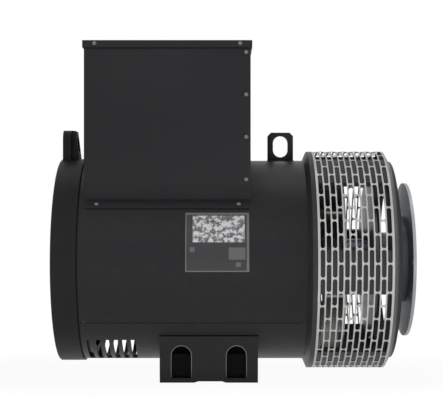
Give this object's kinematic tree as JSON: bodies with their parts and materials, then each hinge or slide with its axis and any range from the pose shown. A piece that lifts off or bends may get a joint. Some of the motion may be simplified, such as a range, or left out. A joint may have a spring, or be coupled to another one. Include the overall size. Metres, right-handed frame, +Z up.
{
  "type": "generator alternator head",
  "caption": "Single-bearing brushless alternator head: round steel frame on feet, terminal box on top, slotted fan screen, engine-mounting flange and disc coupling.",
  "frame": {"origin": "centre of the drive-end flange's mounting face, on the shaft's axis", "axes": "+X along the shaft out of the drive end, +Z up, +Y to the back of the machine"},
  "size_m": [0.8026, 0.512, 0.745],
  "materials": {
    "black_paint": "satin charcoal paint",
    "bright_steel": "ground",
    "cast_aluminium": "as cast",
    "cast_black": "painted rough casting",
    "dark_fasteners": "blackened",
    "disc_steel": "bare sheet",
    "enamelled_copper": "varnished winding",
    "gasket_rubber": "closed-cell strip",
    "label_foil": "printed foil, bare",
    "lamination_steel": "varnished laminations",
    "machined_steel": "turned, lightly oiled",
    "moulded_plastic": "moulded",
    "plated_metal": "zinc plate",
    "screen_steel": "slotted sheet, bare cut edges"
  },
  "bodies": {
    "frame": {"bearing_outer_race": "bright_steel", "bearing_retainer": "bright_steel", "board_standoffs": "plated_metal", "box_front_panel": "black_paint", "box_lid": "black_paint", "box_rear_panel": "black_paint", "de_bracket": "cast_black", "de_bracket_bolts": "dark_fasteners", "exciter_field_coils": "enamelled_copper", "exciter_stator": "lamination_steel", "fan_screen": "screen_steel", "foot_front": "black_paint", "foot_rear": "black_paint", "front_panel_screws": "dark_fasteners", "gland_plate": "black_paint", "gland_plate_screws": "dark_fasteners", "lid_gasket": "gasket_rubber", "lid_screws": "dark_fasteners", "lifting_lug": "black_paint", "rating_label": "label_foil", "rear_cap": "black_paint", "rear_cover": "black_paint", "rear_cover_screws": "dark_fasteners", "rear_panel_screws": "dark_fasteners", "rear_shield": "cast_black", "rear_shield_bolts": "dark_fasteners", "regulator_pillars": "plated_metal", "regulator_trimmers": "plated_metal", "screen_clasp": "black_paint", "screen_clasp_screws": "dark_fasteners", "skirt_screws": "dark_fasteners", "stator_core": "lamination_steel", "stator_frame": "black_paint", "stator_winding_de": "enamelled_copper", "stator_winding_nde": "enamelled_copper", "terminal_board": "moulded_plastic", "terminal_box": "black_paint", "terminal_nuts": "bright_steel", "terminal_studs": "bright_steel", "voltage_regulator": "moulded_plastic"},
    "rotor": {"bearing_inner_race": "bright_steel", "bearing_lock_ring": "bright_steel", "coupling_bolts": "dark_fasteners", "coupling_clamp_ring": "machined_steel", "coupling_disc_1": "disc_steel", "coupling_disc_2": "disc_steel", "coupling_disc_3": "disc_steel", "coupling_hub": "machined_steel", "exciter_armature": "lamination_steel", "exciter_armature_winding": "enamelled_copper", "fan": "cast_aluminium", "rectifier_diodes": "plated_metal", "rectifier_plate": "cast_aluminium", "rotor_core": "lamination_steel", "rotor_field_coils": "enamelled_copper", "shaft": "machined_steel"},
    "bearing_cage": {"bearing_balls": "bright_steel", "bearing_cage": "bright_steel"}
  },
  "joints": [
    {"name": "rotor_spin", "type": "hinge", "parent": "frame", "child": "rotor", "pos_m": [-0.4, 0, 0], "axis": [1, 0, 0], "continuous": true},
    {"name": "cage_spin", "type": "hinge", "parent": "frame", "child": "bearing_cage", "pos_m": [-0.7055, 0, 0], "axis": [1, 0, 0], "continuous": true}
  ],
  "couplings": [
    {"joint": "cage_spin", "follows": "rotor_spin", "ratio": 0.3829}
  ]
}
